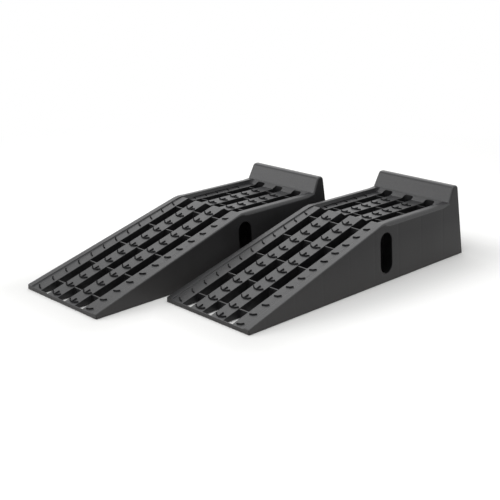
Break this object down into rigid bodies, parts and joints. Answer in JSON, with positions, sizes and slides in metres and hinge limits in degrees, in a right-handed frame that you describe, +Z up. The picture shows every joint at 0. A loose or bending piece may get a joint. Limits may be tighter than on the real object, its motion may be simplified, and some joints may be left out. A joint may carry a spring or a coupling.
{
  "type": "leveling block set",
  "caption": "Black plastic drive-on leveling ramps: slotted, treaded slope, dished wheel platform, raised wheel stop, hand holes in the side walls and rubber feet.",
  "frame": {"origin": "on the floor, under the middle of the box round the pair as it stands", "axes": "+X across the ramps to the right, +Y up the slope from the front lip to the wheel stop, +Z up"},
  "size_m": [0.6501, 1.0952, 0.209],
  "materials": {
    "black_polypropylene": "injection moulded black polypropylene, fine spark-eroded grain, satin",
    "moulded_rubber": "compression moulded black rubber, dull"
  },
  "bodies": {
    "root": {"left_ramp": "black_polypropylene", "left_ramp_foot_front_left": "moulded_rubber", "left_ramp_foot_front_right": "moulded_rubber", "left_ramp_foot_rear_left": "moulded_rubber", "left_ramp_foot_rear_right": "moulded_rubber", "right_ramp": "black_polypropylene", "right_ramp_foot_front_left": "moulded_rubber", "right_ramp_foot_front_right": "moulded_rubber", "right_ramp_foot_rear_left": "moulded_rubber", "right_ramp_foot_rear_right": "moulded_rubber"}
  },
  "joints": []
}
